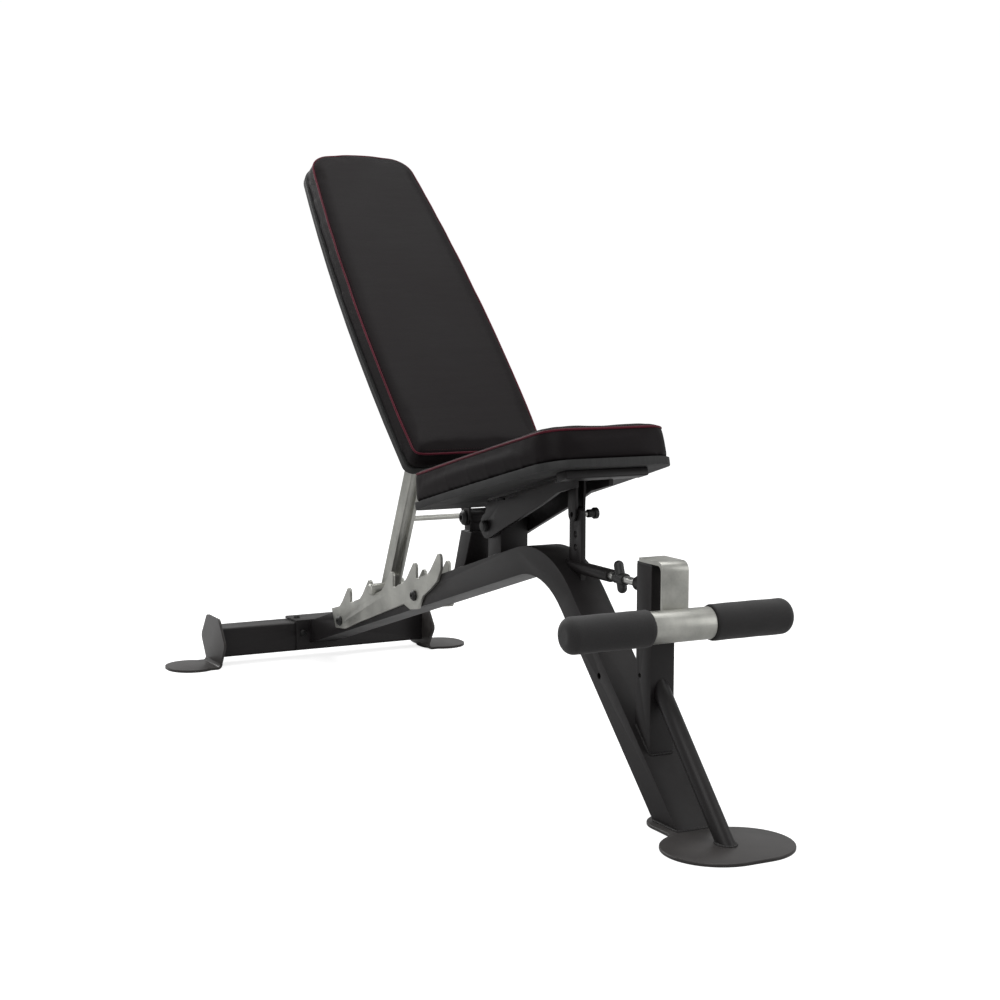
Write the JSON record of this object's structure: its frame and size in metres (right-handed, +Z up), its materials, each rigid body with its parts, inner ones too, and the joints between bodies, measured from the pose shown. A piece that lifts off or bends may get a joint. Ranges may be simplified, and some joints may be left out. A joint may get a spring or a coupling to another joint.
{
  "type": "adjustable weight bench",
  "caption": "Free-standing exercise bench with a ladder-set inclining backrest, a tilting seat and a height-adjustable padded leg roller on a front post.",
  "frame": {"origin": "on the floor, in the middle of the bench's length and width", "axes": "+Z up, -Y towards the leg roller, +Y towards the rear stabiliser, +X to the right of a person sitting with the backrest behind them when seen from the front post looking back"},
  "size_m": [0.662, 1.6626, 1.0312],
  "materials": {
    "frame_powder_coat": "satin",
    "foot_plate_coat": "satin",
    "black_fasteners": "satin",
    "zinc": "satin",
    "pin_steel": "satin",
    "black_plastic": "matte",
    "nylon": "matte",
    "pad_board": "painted matte",
    "pad_vinyl": "grained vinyl",
    "roller_foam": "matte"
  },
  "bodies": {
    "frame": {"main_beam": "frame_powder_coat", "rear_saddle": "frame_powder_coat", "saddle_bolts": "black_fasteners", "rear_stabiliser": "frame_powder_coat", "rear_foot_left": "foot_plate_coat", "rear_foot_right": "foot_plate_coat", "front_foot_plate": "foot_plate_coat", "front_brace_rod": "frame_powder_coat", "roller_post": "frame_powder_coat", "post_bushing": "black_plastic", "post_pin_housing": "frame_powder_coat", "post_pin_guide": "frame_powder_coat", "rear_upright": "frame_powder_coat", "front_upright": "frame_powder_coat", "seat_strap": "frame_powder_coat", "ladder_plate_left": "zinc", "ladder_plate_right": "zinc", "ladder_bolts": "black_fasteners", "seat_pivot_bolt": "black_plastic"},
    "backrest": {"back_channel": "frame_powder_coat", "back_crossbars": "frame_powder_coat", "back_hinge_pin": "black_fasteners", "back_board": "pad_board", "back_pad": "pad_vinyl", "back_screws": "black_fasteners", "strut_pivot_pin": "black_fasteners", "strut_spacers": "nylon"},
    "strut": {"support_strut": "zinc", "strut_crossbar": "zinc", "strut_handle": "zinc"},
    "seat": {"seat_bracket_left": "frame_powder_coat", "seat_bracket_right": "frame_powder_coat", "seat_front_rail": "frame_powder_coat", "seat_clevis": "frame_powder_coat", "seat_board": "pad_board", "seat_pad": "pad_vinyl", "seat_screws": "black_fasteners"},
    "seat_pull_pin": {"seat_pin": "pin_steel", "seat_pin_knob": "black_plastic"},
    "roller_carriage": {"roller_hook": "zinc", "roller_stem": "zinc", "roller_tube": "zinc", "roller_axle": "zinc"},
    "left_roller": {"roller_core_left": "black_plastic", "roller_foam_left": "roller_foam"},
    "right_roller": {"roller_core_right": "black_plastic", "roller_foam_right": "roller_foam"},
    "post_pull_pin": {"post_pin": "pin_steel", "post_pin_handle": "black_plastic"}
  },
  "joints": [
    {"name": "back_recline", "type": "hinge", "parent": "frame", "child": "backrest", "pos_m": [0, 0.01375, 0.375], "axis": [1, 0, 0], "range_deg": [0, 15.5]},
    {"name": "strut_swing", "type": "hinge", "parent": "backrest", "child": "strut", "pos_m": [0, 0.1976, 0.58713], "axis": [1, 0, 0], "range_deg": [-13.2, 0]},
    {"name": "seat_tilt", "type": "hinge", "parent": "frame", "child": "seat", "pos_m": [0, -0.08625, 0.372], "axis": [1, 0, 0], "range_deg": [0, 11.9]},
    {"name": "seat_pin_pull", "type": "slide", "parent": "seat", "child": "seat_pull_pin", "axis": [1, 0, 0], "range_m": [-0.009, 0]},
    {"name": "roller_height", "type": "slide", "parent": "frame", "child": "roller_carriage", "axis": [0, 0, 1], "range_m": [0, 0.1]},
    {"name": "post_pin_pull", "type": "slide", "parent": "frame", "child": "post_pull_pin", "axis": [0, 1, 0], "range_m": [-0.012, 0]},
    {"name": "left_roller_spin", "type": "hinge", "parent": "roller_carriage", "child": "left_roller", "pos_m": [-0.12, -0.62425, 0.2885], "axis": [1, 0, 0], "continuous": true},
    {"name": "right_roller_spin", "type": "hinge", "parent": "roller_carriage", "child": "right_roller", "pos_m": [0.12, -0.62425, 0.2885], "axis": [1, 0, 0], "continuous": true}
  ],
  "couplings": [
    {"joint": "strut_swing", "follows": "back_recline", "ratio": -0.85}
  ]
}
